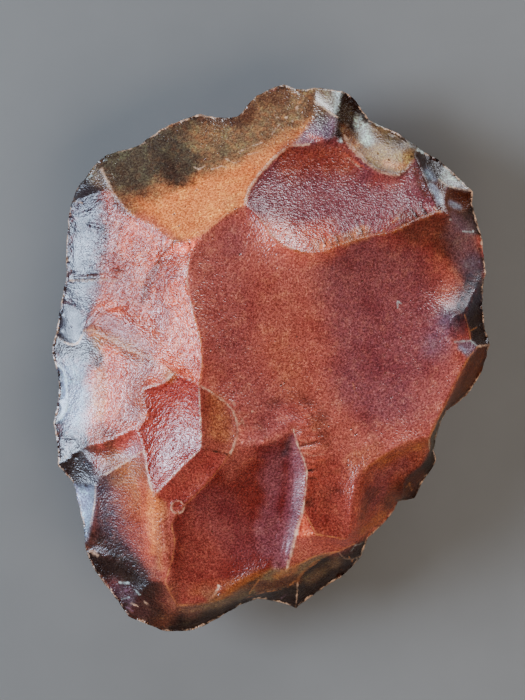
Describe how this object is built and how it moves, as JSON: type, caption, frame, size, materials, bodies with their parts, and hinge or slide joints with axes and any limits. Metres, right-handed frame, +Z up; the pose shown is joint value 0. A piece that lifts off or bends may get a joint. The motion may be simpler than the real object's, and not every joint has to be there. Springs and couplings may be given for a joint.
{
  "type": "stone hand axe",
  "caption": "Oval knapped stone hand axe, lying flat, with broad flake scars, a worn crest and a sinuous cutting edge",
  "frame": {"origin": "on the plane that the stone lies on, under the middle of its outline", "axes": "+Y along the length towards the blunt tip, +Z up through the thickness, out of the domed upper face"},
  "size_m": [0.088, 0.11, 0.034],
  "materials": {
    "jasper": "glossy, river-polished, with paler worn ridges and a dark patina at the margins"
  },
  "bodies": {
    "root": {"hand_axe": "jasper"}
  },
  "joints": []
}
